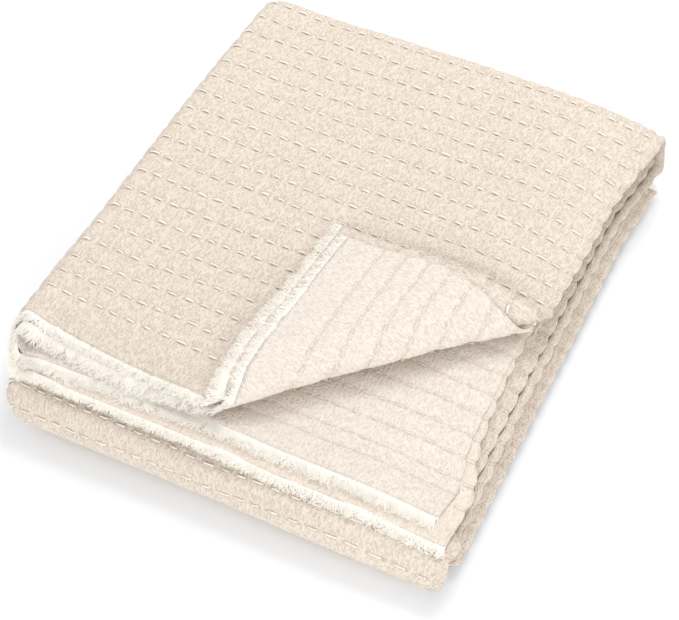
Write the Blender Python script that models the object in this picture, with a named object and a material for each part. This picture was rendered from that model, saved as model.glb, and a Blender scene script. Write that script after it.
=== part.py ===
"""Folded throw blanket: a double cloth of two plies, folded in half and then in thirds.

Units are metres, +Z is up, X runs along the front edge to the right and Y runs to the back.
Each ply starts as a flat slab in the cloth's own frame: x across the throw, y along it from the
front end, n through it from the underside of the cream ply. Cut lines are put where it will bend,
and then the slab's points are carried through the folds in the order in which they are made.
"""
import math

import bmesh
import bpy
import numpy as np

# The cloth
THROW_LENGTH = 1.77
RIGHT_HALF = 0.462           # upper half, from the side fold to its free edge
LEFT_HALF = 0.441            # lower half, from the side fold to its free edge
LEFT_HALF_CREAM = 0.438      # the cream ply is a little narrower there
CREAM_SET_BACK = 0.024       # its front end stops short of the sand ply's in the lower half,
CREAM_BESIDE = 0.015         # by less near the side fold,
CREAM_AT_FOLD = 0.013        # and least where the fold begins,
CREAM_FORWARD = 0.011        # and comes out a little past it at the left of the upper half
CREAM_FADE = 0.08            # the rows follow its end over this length
SAND_PLY = 0.0026
CREAM_PLY = 0.0022
PLY_GAP = 0.0014
CLOTH = CREAM_PLY + PLY_GAP + SAND_PLY

# The stitched rows
ROW_PITCH = 0.026
FIRST_ROW = 0.043            # a plain band runs along the fringe before it
SAND_VALLEY = 0.0015
CREAM_VALLEY = 0.0008
VALLEY_POWER = 1.5           # more than 1 keeps the valleys narrow and the puffs between them wide
SCALLOP = 0.0012
SCALLOP_WIDTH = 0.03

# The side fold, then the two folds across the length
HALVES_GAP = 0.0160
SIDE_RADIUS = HALVES_GAP / 2 + CLOTH
SIDE_ARC = math.pi * SIDE_RADIUS
PACK = 2 * SIDE_RADIUS
PACK_GAP = 0.003
END_RADIUS = PACK + PACK_GAP / 2
END_ARC = math.pi * END_RADIUS
TOP_RUN = 0.505
MIDDLE_RUN = 0.545
HEIGHT = 3 * PACK + 2 * PACK_GAP
SLIP = 0.036                 # how far the lower half of a pack slides forward of the upper one

# The corner turned back on top
FLAP_START = 0.210
FLAP_ANGLE = math.radians(43.7)
FLAP_ALONG = (math.cos(FLAP_ANGLE), math.sin(FLAP_ANGLE))
FLAP_GAP = 0.005
FLAP_LIFT = 0.010
FLAP_REACH = 0.160
FLAP_PLY_GAP = 0.0030        # the plies part by this much more at the turned corner's bend
FLAP_PLY_WIDTH = 0.045
FLAP_SAND_RADIUS = FLAP_GAP / 2 + SAND_PLY / 2
FLAP_CREAM_RADIUS = FLAP_GAP / 2 + SAND_PLY + PLY_GAP + FLAP_PLY_GAP + CREAM_PLY / 2

# How the stack has settled
LOW_LEAN = 0.014
LOW_SPREAD = 0.019           # the lowest layers reach this much further to the right
RIGHT_DROOP = 0.13
RIGHT_WIDTH = 0.10
LEFT_RISE = 0.05
LEFT_WIDTH = 0.10
FRONT_DROOP = 0.04
FRONT_WIDTH = 0.12
WAVE = 0.018
WAVES_ACROSS = 1.7           # waves in each metre
WAVES_ALONG = 0.9
EDGE_FLARE = 0.034           # the lower half spreads to the right at the front
FLARE_START = 0.10
FLARE_LENGTH = 0.11
FRONT_RECESS = 0.0165        # the top layer is pushed back at the left of its front end
RECESS_BESIDE = 0.35         # and this share of it is left at the first cut line
RECESS_LENGTH = 0.12
FRONT_LEAN = 0.020           # at the left of the front the top hangs over the lowest layers
FRONT_LEAN_LENGTH = 0.20
TAPER = -0.04                # the stack is a little narrower at the back
SKEW = 0.052
LEFT_BOW = 0.006             # the side fold and the back fold bulge a little
BACK_BOW = 0.006
RIGHT_BOW = 0.011            # the free edge of the top layer curves in along its middle
CORNER_ROUND = 0.026
CORNER_POWER = 5
CENTRE_X = 0.2340
CENTRE_Y = 0.2330

# The fringes
STRIP = 0.003
STRIP_GAP = 0.0009
FRONT_LOCK = 0.0115
BACK_LOCK = 0.011
FRONT_SAND_PITCH = 0.0105
FRONT_CREAM_PITCH = 0.0125
BACK_PITCH = 0.0225
LOCK_SWAY = 0.22
LEVEL_BELOW = 0.004
RUN_GAP = 0.0004
THIN = 0.0002
FRINGE_SEED = 11

# Cut lines
SIDE_STEPS = 7
FLAP_STEPS = 6
FLAP_LINES = (0.015, 0.04, 0.08, 0.12)
FLAP_BEFORE = -0.03
FLAP_CUT_LEFT = 0.15
FLAP_CUT_BACK = 0.27
FLATS = (0.25, 0.5, 0.75, 0.93)
TOP_LINES = (0.13, 0.26, 0.39)
MIDDLE_LINES = (0.14, 0.28, 0.42)
LAST_LINES = (0.18, 0.36)

COLOURS = {
    "sand_cloth": ((0.82, 0.71, 0.60, 1.0), 0.92),
    "cream_cloth": ((0.92, 0.85, 0.76, 1.0), 0.92),
    "fringe_yarn": ((0.92, 0.90, 0.85, 1.0), 0.95),
}


def smooth(value):
    """A soft step from 0 at value 0 to 1 at value 1."""
    value = np.clip(value, 0.0, 1.0)
    return value * value * (3 - 2 * value)


def row_depth(y):
    """1 in the valley of a stitched row, 0 half-way between two rows and before the first."""
    depth = (0.5 + 0.5 * np.cos(2 * math.pi * (y - FIRST_ROW) / ROW_PITCH)) ** VALLEY_POWER
    return depth * (y > FIRST_ROW - ROW_PITCH / 2)


def turn_corner(x, y, n, radius, spread):
    """Turn the free front corner of the upper half back over a slanting line.

    u is the distance past the fold line and v runs along it. Past the line a point goes round
    an axis above the cloth, and past the half turn it lies upside down over the cloth.
    """
    along_x, along_y = FLAP_ALONG
    u = (x - FLAP_START) * along_y - y * along_x
    v = (x - FLAP_START) * along_x + y * along_y
    near = smooth(1 - np.abs(u - math.pi * radius / 2) / FLAP_PLY_WIDTH)
    n = n - spread * near * (x > 0)
    axis = CLOTH + FLAP_GAP / 2
    r = axis - n
    arc = math.pi * radius
    angle = np.clip(u, 0, arc) / radius
    beyond = np.clip(u - arc, 0, None)
    turned = (u > 0) & (x > 0)
    away = np.clip(beyond / FLAP_REACH, 0, 1)
    puff = FLAP_LIFT * np.sin(math.pi * np.sqrt(away))
    new_u = np.where(turned, r * np.sin(angle) - beyond, u)
    new_n = np.where(turned, axis - r * np.cos(angle) + puff, n)
    new_x = FLAP_START + new_u * along_y + v * along_x
    new_y = v * along_y - new_u * along_x
    return np.where(turned, new_x, x), np.where(turned, new_y, y), new_n


def fold_side(x, n):
    """Fold the throw in half: the lower half swings down and under about the line x = 0."""
    r = HALVES_GAP / 2 + n
    angle = np.clip(-x, 0, SIDE_ARC) / SIDE_RADIUS
    under = np.clip(-x - SIDE_ARC, 0, None)
    over = np.clip(x, 0, None)
    return over + under - r * np.sin(angle), r * np.cos(angle)


def fold_ends(y, w):
    """Fold the halved throw in thirds: back and down, forward, then down and back again."""
    end = TOP_RUN + END_ARC + MIDDLE_RUN
    turn_back = np.clip(y - TOP_RUN, 0, END_ARC) / END_RADIUS
    middle = np.clip(y - TOP_RUN - END_ARC, 0, MIDDLE_RUN)
    turn_front = np.clip(y - end, 0, END_ARC) / END_RADIUS
    last = np.clip(y - end - END_ARC, 0, None)
    back_axis = 2 * PACK + 1.5 * PACK_GAP
    front_axis = PACK + PACK_GAP / 2
    back_r = w + PACK / 2 + PACK_GAP / 2
    front_r = PACK / 2 + PACK_GAP / 2 - w
    new_y = np.clip(y, None, TOP_RUN) + back_r * np.sin(turn_back) - middle
    new_y = new_y - front_r * np.sin(turn_front) + last
    top_z = back_axis + back_r * np.cos(turn_back)
    low_z = front_axis + front_r * np.cos(turn_front)
    return new_y, np.where(y > end, low_z, top_z)


def round_corner(x, y, corner_x, corner_y, side_x, side_y):
    """Draw a square corner of the plan in to a round one; side_x and side_y are its signs."""
    dx = (x - (corner_x - side_x * CORNER_ROUND)) * side_x
    dy = (y - (corner_y - side_y * CORNER_ROUND)) * side_y
    inside = (dx > 0) & (dy > 0)
    square = (np.abs(dx) ** CORNER_POWER + np.abs(dy) ** CORNER_POWER) ** (1 / CORNER_POWER)
    share = np.where(inside, square / np.maximum(np.hypot(dx, dy), 1e-9), 1.0)
    new_x = np.where(inside, corner_x - side_x * CORNER_ROUND + side_x * dx * share, x)
    new_y = np.where(inside, corner_y - side_y * CORNER_ROUND + side_y * dy * share, y)
    return new_x, new_y


def settle(x, y, z):
    """The stack is wider below, droops at its free edges and is round at its corners."""
    back = TOP_RUN + END_RADIUS
    x, y = round_corner(x, y, -SIDE_RADIUS, back, -1, 1)
    x, y = round_corner(x, y, RIGHT_HALF, back, 1, 1)
    droop = 1 - RIGHT_DROOP * smooth(1 - (RIGHT_HALF - x) / RIGHT_WIDTH)
    droop = droop + LEFT_RISE * smooth(1 - (x + SIDE_RADIUS) / LEFT_WIDTH)
    droop = droop - FRONT_DROOP * smooth(0.5 - y / FRONT_WIDTH)
    ripple = WAVE * np.sin(2 * math.pi * (x * WAVES_ACROSS + y * WAVES_ALONG))
    z = z * droop * (1 + ripple * smooth(y / FRONT_WIDTH))
    low = 1 - z / HEIGHT
    across = np.clip((x + SIDE_RADIUS) / (RIGHT_HALF + SIDE_RADIUS), 0, 1)
    along = np.clip(y / back, 0, 1)
    bow_x = LEFT_BOW * (1 - across) * 4 * along * (1 - along)
    bow_x += RIGHT_BOW * across ** 2 * (1 - low) ** 2 * 4 * along * (1 - along)
    bow_y = BACK_BOW * along * 4 * across * (1 - across)
    lean = FRONT_LEAN * (low - 0.5) * (1 - across) * (1 - smooth(y / FRONT_LEAN_LENGTH))
    x = x + (LOW_LEAN + LOW_SPREAD * across) * low + lean - bow_x - CENTRE_X
    y = y + bow_y - CENTRE_Y
    return x * (1 + TAPER * y), y + SKEW * x, z


def recess_share(x):
    """1 at the side fold, 0 in the lower half and beside the turned corner."""
    places = (-SIDE_ARC, 0, RIGHT_HALF * FLATS[0], RIGHT_HALF * FLATS[1])
    return np.interp(x, places, (0, 1, RECESS_BESIDE, 0))


def lay(points, cream):
    """Carry points of one flat ply through every fold to where they lie."""
    radius = FLAP_CREAM_RADIUS if cream else FLAP_SAND_RADIUS
    spread = FLAP_PLY_GAP if cream else 0.0
    flare = 0.0 if cream else EDGE_FLARE
    x, y, n = points.T
    lower = smooth((-x - SIDE_ARC) / FLARE_START)
    x = x * (1 + flare * lower * np.exp(-((y / FLARE_LENGTH) ** 2)))
    from_edge = np.where(x > 0, RIGHT_HALF - x, SIDE_ARC + LEFT_HALF + x)
    edge = smooth(1 - from_edge / SCALLOP_WIDTH) * (y < TOP_RUN) * (y > 0)
    x = x - np.sign(x) * edge * SCALLOP * row_depth(y)
    x, y, n = turn_corner(x, y, n, radius, spread)
    y = y + FRONT_RECESS * recess_share(x) * (1 - smooth(y / RECESS_LENGTH))
    y = y - SLIP * (0.5 - 0.5 * np.cos(np.clip(-x, 0, SIDE_ARC) / SIDE_RADIUS))
    x, w = fold_side(x, n)
    y, z = fold_ends(y, w)
    return np.stack(settle(x, y, z), axis=1)


def slab(low, high):
    """A closed box between two opposite corners."""
    low, high = np.array(low), np.array(high)
    bm = bmesh.new()
    bmesh.ops.create_cube(bm, size=1.0)
    bmesh.ops.scale(bm, vec=high - low, verts=bm.verts)
    bmesh.ops.translate(bm, vec=(low + high) / 2, verts=bm.verts)
    return bm


def cut(bm, normal, places, within=None):
    """Cut lines across the slab at the given distances along normal, where within holds."""
    for place in places:
        faces = [f for f in bm.faces if within is None or within(f.calc_center_median())]
        geometry = set(faces)
        for face in faces:
            geometry.update(face.edges)
            geometry.update(face.verts)
        spot = np.array(normal) * place / np.dot(normal, normal)
        bmesh.ops.bisect_plane(
            bm, geom=list(geometry), dist=1e-6, plane_co=spot, plane_no=normal
        )


def rows_between(start, stop, parts):
    """Lines that divide the pitch of the stitched rows in parts, from start to stop."""
    step = ROW_PITCH / parts
    first = math.ceil((start + 0.002 - FIRST_ROW) / step)
    last = math.floor((stop - 0.002 - FIRST_ROW) / step)
    return [FIRST_ROW + k * step for k in range(first, last + 1)]


def collection_named(name):
    group = bpy.data.collections.new(name)
    bpy.context.scene.collection.children.link(group)
    return group


def material_named(name):
    colour, roughness = COLOURS[name]
    material = bpy.data.materials.new(name)
    material.use_nodes = True
    shader = material.node_tree.nodes["Principled BSDF"]
    shader.inputs["Base Color"].default_value = colour
    shader.inputs["Roughness"].default_value = roughness
    shader.inputs["Metallic"].default_value = 0.0
    return material


def points_of(bm):
    return np.array([v.co[:] for v in bm.verts])


def finish(bm, points, name, material, group):
    """Write the laid points back, and make the named object."""
    for vertex, point in zip(bm.verts, points):
        vertex.co = point
    mesh = bpy.data.meshes.new(name)
    bm.to_mesh(mesh)
    bm.free()
    mesh.materials.append(material)
    thing = bpy.data.objects.new(name, mesh)
    group.objects.link(thing)
    return thing


def bend_lines(bm, flap_radius, left_half):
    """Cut lines for every bend, a few on the flat runs, and two to a row where rows show."""
    side = [-SIDE_ARC * k / SIDE_STEPS for k in range(SIDE_STEPS + 1)]
    right = [RIGHT_HALF * share for share in FLATS]
    left = [-SIDE_ARC - left_half * share for share in FLATS]
    cut(bm, (1, 0, 0), side + right + left)
    back_turn = TOP_RUN + END_ARC
    front_turn = back_turn + MIDDLE_RUN
    last_run = front_turn + END_ARC
    runs = [TOP_RUN, back_turn, front_turn, last_run]
    runs += list(TOP_LINES)
    runs += [back_turn + share for share in MIDDLE_LINES]
    runs += [last_run + share for share in LAST_LINES]
    cut(bm, (0, 1, 0), runs)
    slip = SLIP + 0.002
    cut(bm, (0, 1, 0), rows_between(TOP_RUN, back_turn + slip, 3))
    cut(bm, (0, 1, 0), rows_between(front_turn, last_run + slip, 3))
    arc = math.pi * flap_radius
    flap = [arc * k / FLAP_STEPS for k in range(FLAP_STEPS + 1)]
    flap += [FLAP_BEFORE] + [arc + share for share in FLAP_LINES]
    along_x, along_y = FLAP_ALONG
    cut(
        bm,
        (along_y, -along_x, 0),
        [FLAP_START * along_y + u for u in flap],
        lambda c: c.x > FLAP_CUT_LEFT and c.y < FLAP_CUT_BACK,
    )


def sand_cloth(group, material):
    """The face ply, with valleys along its stitched rows where they show."""
    reach = SIDE_ARC + LEFT_HALF
    bm = slab((-reach, 0, CLOTH - SAND_PLY), (RIGHT_HALF, THROW_LENGTH, CLOTH))
    bend_lines(bm, FLAP_SAND_RADIUS, LEFT_HALF)
    cut(bm, (0, 1, 0), rows_between(0, TOP_RUN, 2), lambda c: c.x > 0 and c.y < TOP_RUN)
    bmesh.ops.triangulate(bm, faces=bm.faces[:])
    points = points_of(bm)
    x, y, n = points.T
    front_turn = TOP_RUN + END_ARC + MIDDLE_RUN
    on_top = (x > 0) & (y < TOP_RUN)
    on_back = (y > TOP_RUN) & (y < TOP_RUN + END_ARC)
    on_front = (y > front_turn) & (y < front_turn + END_ARC + SLIP)
    ribbed = (n > CLOTH - SAND_PLY / 2) & (on_top | on_back | on_front)
    points[:, 2] -= np.where(ribbed, SAND_VALLEY * row_depth(y), 0)
    return finish(bm, lay(points, False), "cloth_sand", material, group)


def cream_end(x):
    """How far the cream ply's front end lies behind the sand ply's, straight between lines."""
    left = [-SIDE_ARC - LEFT_HALF_CREAM * share for share in (FLATS[1], FLATS[0], 0)]
    right = [0, RIGHT_HALF * FLATS[0], RIGHT_HALF * FLATS[1]]
    ends = (CREAM_SET_BACK, CREAM_BESIDE, CREAM_AT_FOLD, -CREAM_FORWARD, -CREAM_FORWARD, 0)
    return np.interp(x, left + right, ends)


def cream_cloth(group, material):
    """The reverse ply, with shallow valleys on the corner and the half under it."""
    reach = SIDE_ARC + LEFT_HALF_CREAM
    bm = slab((-reach, 0, 0), (RIGHT_HALF, THROW_LENGTH, CREAM_PLY))
    bend_lines(bm, FLAP_CREAM_RADIUS, LEFT_HALF_CREAM)
    shown = FLAP_START + ROW_PITCH
    cut(
        bm,
        (0, 1, 0),
        rows_between(0, shown, 2),
        lambda c: c.y < shown and abs(c.x) > FLAP_CUT_LEFT,
    )
    bmesh.ops.triangulate(bm, faces=bm.faces[:])
    points = points_of(bm)
    x, y, n = points.T.copy()
    ribbed = (n < CREAM_PLY / 2) & (y < shown) & (np.abs(x) > FLAP_CUT_LEFT)
    points[:, 2] += np.where(ribbed, CREAM_VALLEY * row_depth(y), 0)
    points[:, 1] += cream_end(x) * (1 - smooth(y / CREAM_FADE))
    return finish(bm, lay(points, True), "cloth_cream", material, group)


def spread_evenly(start, stop, pitch):
    """Places from start to stop, both ends left out, about a pitch apart."""
    return list(np.linspace(start, stop, round((stop - start) / pitch) + 1)[1:-1])


def root_lines(cream, back, pitch):
    """For each straight run of a fringe, its two ends and where its locks' roots meet."""
    left = -SIDE_ARC - (LEFT_HALF_CREAM if cream else LEFT_HALF)
    side = [-SIDE_ARC * k / SIDE_STEPS for k in range(SIDE_STEPS)]
    low = (left, -SIDE_ARC, spread_evenly(left, -SIDE_ARC, pitch))
    if back:
        top = (-SIDE_ARC, RIGHT_HALF, side + [0] + spread_evenly(0, RIGHT_HALF, pitch))
        return {"low": low, "top": top}
    radius = FLAP_CREAM_RADIUS if cream else FLAP_SAND_RADIUS
    bend = math.pi * radius / FLAP_ALONG[1]
    turn = [FLAP_START + bend * k / FLAP_STEPS for k in range(1, FLAP_STEPS + 1)]
    top = (-SIDE_ARC, FLAP_START, side + [0] + spread_evenly(0, FLAP_START, pitch))
    corner = (FLAP_START, RIGHT_HALF, turn + spread_evenly(turn[-1], RIGHT_HALF, pitch))
    return {"low": low, "top": top, "corner": corner}


def lock_tips(roots, places, widths, cream, back, rng):
    """The tips of the locks: straight out from their roots, with some sway and odd lengths."""
    small = 1e-4
    toward = lay(roots + np.array([0, small if back else -small, 0]), cream) - places
    across = lay(roots + np.array([small, 0, 0]), cream) - places
    toward /= np.linalg.norm(toward, axis=1)[:, None]
    across /= np.linalg.norm(across, axis=1)[:, None]
    length = (BACK_LOCK if back else FRONT_LOCK) * rng.uniform(0.75, 1.1, len(roots))
    sway = rng.uniform(-LOCK_SWAY, LOCK_SWAY, len(roots)) * widths
    tips = places + toward * length[:, None] + across * sway[:, None]
    tips[places[:, 2] < LEVEL_BELOW, 2] = 0.0
    return tips


def fringe(group, material, cream, back, pitch):
    """Narrow strips along one end of one ply, with a pointed lock on every stretch of them."""
    low = THIN if cream else CLOTH - SAND_PLY + THIN
    high = low + (CREAM_PLY if cream else SAND_PLY) - 2 * THIN
    near = THROW_LENGTH + STRIP_GAP if back else -STRIP_GAP
    far = near + STRIP if back else near - STRIP
    kind = ("fringe_back_" if back else "fringe_front_") + ("cream_" if cream else "sand_")
    rng = np.random.default_rng(FRINGE_SEED + 2 * cream + back)
    for run, (start, stop, lines) in root_lines(cream, back, pitch).items():
        start, stop = start + RUN_GAP, stop - RUN_GAP
        bm = slab((start, min(near, far), low), (stop, max(near, far), high))
        cut(bm, (1, 0, 0), [line for line in lines if start < line < stop])
        outer = [f for f in bm.faces if abs(f.calc_center_median().y - far) < RUN_GAP / 2]
        tips = bmesh.ops.poke(bm, faces=outer)["verts"]
        widths = [np.ptp([e.other_vert(v).co.x for e in v.link_edges]) for v in tips]
        bmesh.ops.triangulate(bm, faces=bm.faces[:])
        bm.verts.index_update()
        tip_index = np.array([v.index for v in tips])
        flat = points_of(bm)
        if cream and not back:
            flat[:, 1] += cream_end(flat[:, 0])
        points = lay(flat, cream)
        roots, places = flat[tip_index], points[tip_index]
        points[tip_index] = lock_tips(roots, places, np.array(widths), cream, back, rng)
        finish(bm, points, kind + run, material, group)


def main():
    for thing in list(bpy.data.objects):
        bpy.data.objects.remove(thing, do_unlink=True)
    group = collection_named("folded_throw")
    yarn = material_named("fringe_yarn")
    sand_cloth(group, material_named("sand_cloth"))
    cream_cloth(group, material_named("cream_cloth"))
    fringe(group, yarn, False, False, FRONT_SAND_PITCH)
    fringe(group, yarn, True, False, FRONT_CREAM_PITCH)
    fringe(group, yarn, False, True, BACK_PITCH)
    fringe(group, yarn, True, True, BACK_PITCH)


main()
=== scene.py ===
import math

import bpy
import numpy as np
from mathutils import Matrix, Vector


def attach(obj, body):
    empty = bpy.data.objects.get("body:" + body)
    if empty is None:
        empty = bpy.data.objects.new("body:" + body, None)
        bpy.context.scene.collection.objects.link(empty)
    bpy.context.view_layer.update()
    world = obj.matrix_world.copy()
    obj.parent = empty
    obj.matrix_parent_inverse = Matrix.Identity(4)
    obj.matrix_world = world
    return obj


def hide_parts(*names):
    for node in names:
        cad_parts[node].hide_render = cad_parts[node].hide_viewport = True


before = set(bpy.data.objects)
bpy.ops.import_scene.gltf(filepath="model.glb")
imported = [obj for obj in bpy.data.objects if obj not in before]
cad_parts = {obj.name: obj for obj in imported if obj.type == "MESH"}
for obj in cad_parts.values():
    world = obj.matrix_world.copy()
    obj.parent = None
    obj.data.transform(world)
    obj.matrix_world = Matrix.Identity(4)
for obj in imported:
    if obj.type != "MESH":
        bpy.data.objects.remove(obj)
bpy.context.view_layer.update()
print("scene: frame loaded,", len(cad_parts), "nodes")

# The flat cloth and its folds, in metres. They are the solids' own values, but for creamBeside
# and creamAtFold, which set the cream ply's front end a little further back
throw = {
    "length": 1.77, "rightHalf": 0.462, "leftHalf": 0.441, "leftHalfCream": 0.438,
    "creamSetBack": 0.024, "creamBeside": 0.020, "creamAtFold": 0.015,
    "creamForward": 0.011, "creamFade": 0.08,
    "sandPly": 0.0026, "creamPly": 0.0022, "plyGap": 0.0014,
    "halvesGap": 0.0160, "packGap": 0.003, "topRun": 0.505, "middleRun": 0.545, "slip": 0.036,
    "flapStart": 0.210, "flapAngle": math.radians(43.7), "flapGap": 0.005, "flapLift": 0.010,
    "flapReach": 0.160, "flapPlyGap": 0.0030, "flapPlyWidth": 0.045,
    "lowLean": 0.014, "lowSpread": 0.019, "rightDroop": 0.13, "rightWidth": 0.10,
    "leftRise": 0.05, "leftWidth": 0.10, "frontDroop": 0.04, "frontWidth": 0.12,
    "wave": 0.018, "wavesAcross": 1.7, "wavesAlong": 0.9,
    "edgeFlare": 0.034, "flareStart": 0.10, "flareLength": 0.11,
    "frontRecess": 0.0165, "recessBeside": 0.35, "recessLength": 0.12,
    "frontLean": 0.020, "frontLeanLength": 0.20,
    "taper": -0.04, "skew": 0.052, "leftBow": 0.006, "backBow": 0.006, "rightBow": 0.011,
    "cornerRound": 0.026, "cornerPower": 5, "centreX": 0.2340, "centreY": 0.2330,
}
throw["cloth"] = throw["creamPly"] + throw["plyGap"] + throw["sandPly"]
throw["sideRadius"] = throw["halvesGap"] / 2 + throw["cloth"]
throw["sideArc"] = math.pi * throw["sideRadius"]
throw["pack"] = 2 * throw["sideRadius"]
throw["endRadius"] = throw["pack"] + throw["packGap"] / 2
throw["endArc"] = math.pi * throw["endRadius"]
throw["height"] = 3 * throw["pack"] + 2 * throw["packGap"]
throw["flapSandRadius"] = throw["flapGap"] / 2 + throw["sandPly"] / 2
throw["flapCreamRadius"] = (throw["flapGap"] / 2 + throw["sandPly"] + throw["plyGap"]
                            + throw["flapPlyGap"] + throw["creamPly"] / 2)
# Along the cloth: where the back turn ends, where the front turn starts, and its middle
throw["backTurn"] = throw["topRun"] + throw["endArc"]
throw["frontTurn"] = throw["backTurn"] + throw["middleRun"]
throw["frontRoll"] = throw["frontTurn"] + throw["endArc"] / 2

# The stitched rows and the relief of the two plies. Each Cell is the lattice of a softNoise, and
# bandEnd is a soft step along the cloth, as rise takes it
weave = {
    "rowPitch": 0.026, "firstRow": 0.043, "rows": 66, "dashPitch": 0.0185, "seed": 41,
    "rowWander": 0.0022, "rowCell": 0.065, "fineWander": 0.0008, "fineCell": 0.020,
    "dashWander": 0.0022, "dashCell": 0.045,
    "valley": 0.0021, "valleyPower": 2.2, "valleyEase": 0.35, "marginShare": 0.45,
    "marginWidth": 0.02, "cellDip": 0.0010, "cellPower": 4, "puff": 0.0006, "puffCell": 0.010,
    "swell": 0.0010, "swellCell": 0.07, "bandEnd": (0.020, 0.015), "bandGrain": 0.0007,
    "bandCell": 0.0042,
    "creamValley": 0.0010, "creamPower": 1.5, "creamPuff": 0.0005, "creamPuffCell": 0.012,
    "creamSwell": 0.0009, "creamSwellCell": 0.06,
}


def smooth(value):
    # A soft step from 0 at value 0 to 1 at value 1
    value = np.clip(value, 0.0, 1.0)
    return value * value * (3 - 2 * value)


def rise(value, start, width):
    # A soft step from 0 at the start to 1 a width further on; a width below 0 runs backwards
    return smooth((value - start) / width)


def nearTo(distance, width):
    # 1 at no distance, falling softly to 0 at the width
    return smooth(1 - distance / width)


def hump(value, middle, width):
    # A bell curve: 1 at the middle, and 1/e a width away from it
    return np.exp(-((value - middle) / width) ** 2)


def softNoise(x, y, cell, seed):
    # Random heights from -1 to 1 on a square lattice, blended smoothly between its corners
    size = 97
    table = np.random.default_rng(seed).uniform(-1, 1, (size, size))
    gx, gy = x / cell, y / cell
    ix, iy = np.floor(gx).astype(int), np.floor(gy).astype(int)
    fx, fy = smooth(gx - ix), smooth(gy - iy)
    a, b = table[ix % size, iy % size], table[(ix + 1) % size, iy % size]
    c, d = table[ix % size, (iy + 1) % size], table[(ix + 1) % size, (iy + 1) % size]
    return (a * (1 - fx) + b * fx) * (1 - fy) + (c * (1 - fx) + d * fx) * fy


def rowWander(x, y):
    # The rows stray a little to and fro across the throw, slowly and from stitch to stitch
    slow = weave["rowWander"] * softNoise(x, y, weave["rowCell"], weave["seed"] + 1)
    return slow + weave["fineWander"] * softNoise(x, y, weave["fineCell"], weave["seed"] + 9)


def dashWander(x, y):
    # The dashes stray a little along their rows as well
    return weave["dashWander"] * softNoise(x, y, weave["dashCell"], weave["seed"] + 2)


def dashPlace(x, y):
    # How far along its row a point lies, in dashes: whole numbers are the middles of dashes
    return (x + dashWander(x, y)) / weave["dashPitch"]


def rowDepth(x, y):
    # 1 in the valley of a stitched row, 0 half-way between two rows and before the first: a
    # raised cosine over the row pitch, to a power that keeps the valleys narrow
    along = y - weave["firstRow"] + rowWander(x, y)
    wave = 0.5 + 0.5 * np.cos(2 * math.pi * along / weave["rowPitch"])
    return wave ** weave["valleyPower"] * (along > -weave["rowPitch"] / 2)


def turnCorner(x, y, n, radius, spread):
    # Past the fold line a point goes half round an axis above the cloth, then lies upside down,
    # lifted by half a sine over the square root of the way out
    alongX, alongY = math.cos(throw["flapAngle"]), math.sin(throw["flapAngle"])
    u = (x - throw["flapStart"]) * alongY - y * alongX
    v = (x - throw["flapStart"]) * alongX + y * alongY
    near = smooth(1 - np.abs(u - math.pi * radius / 2) / throw["flapPlyWidth"])
    n = n - spread * near * (x > 0)
    axis = throw["cloth"] + throw["flapGap"] / 2
    r = axis - n
    arc = math.pi * radius
    angle = np.clip(u, 0, arc) / radius
    beyond = np.clip(u - arc, 0, None)
    turned = (u > 0) & (x > 0)
    away = np.clip(beyond / throw["flapReach"], 0, 1)
    puff = throw["flapLift"] * np.sin(math.pi * np.sqrt(away))
    newU = np.where(turned, r * np.sin(angle) - beyond, u)
    newN = np.where(turned, axis - r * np.cos(angle) + puff, n)
    newX = throw["flapStart"] + newU * alongY + v * alongX
    newY = v * alongY - newU * alongX
    return np.where(turned, newX, x), np.where(turned, newY, y), newN


def foldSide(x, n):
    # The lower half swings down and under about the line x = 0, in a half circle
    r = throw["halvesGap"] / 2 + n
    angle = np.clip(-x, 0, throw["sideArc"]) / throw["sideRadius"]
    under = np.clip(-x - throw["sideArc"], 0, None)
    return np.clip(x, 0, None) + under - r * np.sin(angle), r * np.cos(angle)


def foldEnds(y, w):
    # The halved throw goes back and down in a half circle, forward, then down and back again
    endArc, pack, gap, end = throw["endArc"], throw["pack"], throw["packGap"], throw["frontTurn"]
    turnBack = np.clip(y - throw["topRun"], 0, endArc) / throw["endRadius"]
    middle = np.clip(y - throw["backTurn"], 0, throw["middleRun"])
    turnFront = np.clip(y - end, 0, endArc) / throw["endRadius"]
    last = np.clip(y - end - endArc, 0, None)
    backR = w + pack / 2 + gap / 2
    frontR = pack / 2 + gap / 2 - w
    newY = np.clip(y, None, throw["topRun"]) + backR * np.sin(turnBack) - middle
    newY = newY - frontR * np.sin(turnFront) + last
    topZ = 2 * pack + 1.5 * gap + backR * np.cos(turnBack)
    lowZ = pack + gap / 2 + frontR * np.cos(turnFront)
    return newY, np.where(y > end, lowZ, topZ)


def roundCorner(x, y, cornerX, cornerY, sideX):
    # A back corner of the plan is drawn in to a superellipse
    size, power = throw["cornerRound"], throw["cornerPower"]
    dx = (x - (cornerX - sideX * size)) * sideX
    dy = y - (cornerY - size)
    inside = (dx > 0) & (dy > 0)
    square = (np.abs(dx) ** power + np.abs(dy) ** power) ** (1 / power)
    share = np.where(inside, square / np.maximum(np.hypot(dx, dy), 1e-9), 1.0)
    newX = np.where(inside, cornerX - sideX * size + sideX * dx * share, x)
    return newX, np.where(inside, cornerY - size + dy * share, y)


# The scene's own small shifts of the settled stack, in metres: how far, and the soft steps
# across (X) and along (Y) that limit each, as rise takes them. No point is below floorClear
tuck = {
    "rollCorner": 0.002, "rollCornerOut": 0.6, "rollCornerX": (0.30, 0.16),
    "rollCornerY": (0.10, -0.10), "right": 0.009, "rightX": (0.28, 0.16),
    "left": 0.014, "leftWidth": 0.12, "leftDepth": 0.08,
    "backCorner": 0.017, "backCornerX": (0.34, 0.12), "backCornerY": (0.40, 0.10),
    "backCornerEase": 0.7, "floorClear": 0.0001,
}


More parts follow.
